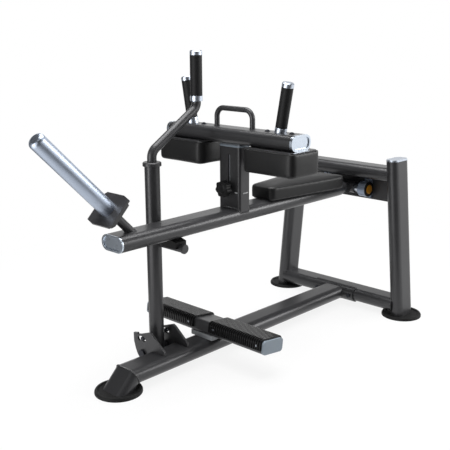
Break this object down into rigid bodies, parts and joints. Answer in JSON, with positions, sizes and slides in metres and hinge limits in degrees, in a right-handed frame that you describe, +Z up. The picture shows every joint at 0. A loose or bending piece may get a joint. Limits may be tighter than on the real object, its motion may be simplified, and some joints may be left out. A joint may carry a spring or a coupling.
{
  "type": "seated calf raise machine",
  "caption": "Plate-loaded seated calf raise machine: seat and knee pads on a pivoting lever with a weight horn, foot bar, and a swing-out catch.",
  "frame": {"origin": "on the floor, under the middle of the overall length and width", "axes": "+X towards the rear legs and the lever's pivot, -X towards the weight horn (the way the user faces), +Y towards the catch and the user's right, +Z up"},
  "size_m": [1.4974, 0.7178, 1.017],
  "materials": {
    "frame_paint": "dark charcoal metallic powder coat, satin",
    "bracket_paint": "dark charcoal metallic powder coat, satin",
    "light_paint": "light grey paint",
    "rubber": "matt black rubber",
    "grip_rubber": "matt black moulded grip",
    "upholstery": "matt black synthetic leather, fine grain",
    "zinc": "zinc plated steel",
    "horn_steel": "satin plated pipe",
    "bearing_cast": "bright blue-silver casting",
    "bearing_steel": "ground steel",
    "bearing_cover": "orange plastic cover, no marks",
    "seal": "black seal",
    "cap_silver": "bright silver cap",
    "cap_bluegrey": "silver-blue plastic cap",
    "cap_white": "silver-white plastic cap",
    "panel": "dark blue-grey panel",
    "knob_plastic": "black plastic",
    "post_paint": "dark charcoal metallic powder coat, satin",
    "tread_paint": "dark ribbed tread sheet"
  },
  "bodies": {
    "frame": {"rubber_feet": "rubber", "base_spine_tube": "frame_paint", "front_leg_tube": "frame_paint", "rear_leg_left": "frame_paint", "rear_leg_right": "frame_paint", "rear_leg_caps": "cap_silver", "lower_cross_tube": "frame_paint", "upper_cross_beam": "frame_paint", "pivot_plate": "bracket_paint", "saddle_bracket": "bracket_paint", "saddle_bolts": "zinc", "foot_bar_tube": "frame_paint", "foot_bar_saddle": "light_paint", "foot_bar_end_caps": "cap_bluegrey", "foot_tread_left": "tread_paint", "foot_tread_right": "tread_paint", "tread_rivets": "zinc", "bearing_blocks": "bearing_cast", "bearing_inserts": "bearing_steel", "bearing_seal_rings": "seal", "bearing_covers": "bearing_cover", "bearing_bolts": "zinc", "catch_plates": "bracket_paint", "catch_pivot_bolt": "zinc"},
    "lever": {"lever_tube": "frame_paint", "lever_end_rim": "cap_silver", "lever_end_panel": "panel", "lever_hub": "bracket_paint", "pivot_spacers": "zinc", "pivot_shaft": "bearing_steel", "horn_stub": "frame_paint", "horn_stop_base": "bracket_paint", "horn_stop_plate": "bracket_paint", "weight_horn": "horn_steel", "column_sleeve": "frame_paint", "column_collar": "cap_bluegrey", "seat_plate": "bracket_paint", "seat_cushion": "upholstery"},
    "knee_carriage": {"inner_post": "post_paint", "knee_beam": "frame_paint", "knee_beam_caps": "cap_white", "knee_pad_plates": "bracket_paint", "knee_pad_left": "upholstery", "knee_pad_right": "upholstery", "knee_pad_bolts": "zinc", "lift_handle": "bracket_paint", "knee_handle_tubes": "bracket_paint", "knee_handle_grips": "grip_rubber", "knee_handle_rings": "cap_silver"},
    "clamp_knob": {"clamp_knob": "knob_plastic", "clamp_stud": "zinc"},
    "catch": {"catch_post": "frame_paint", "catch_stop_rod": "zinc", "catch_collar": "bracket_paint", "catch_handle_tube": "bracket_paint", "catch_grip": "grip_rubber", "catch_grip_rings": "cap_silver", "catch_peg": "bracket_paint", "catch_rest_pad": "rubber"}
  },
  "joints": [
    {"name": "lever_hinge", "type": "hinge", "parent": "frame", "child": "lever", "pos_m": [0.66871, 0, 0.474], "axis": [0, 1, 0], "range_deg": [0, 9]},
    {"name": "catch_swing", "type": "hinge", "parent": "frame", "child": "catch", "pos_m": [-0.27229, 0.08, 0.05], "axis": [-1, 0, 0], "range_deg": [0, 18]},
    {"name": "pad_height_slide", "type": "slide", "parent": "lever", "child": "knee_carriage", "axis": [0, 0, 1], "range_m": [0, 0.105]},
    {"name": "knob_turn", "type": "hinge", "parent": "knee_carriage", "child": "clamp_knob", "pos_m": [0.03071, 0, 0.567], "axis": [-1, 0, 0], "range_deg": [0, 360]}
  ]
}
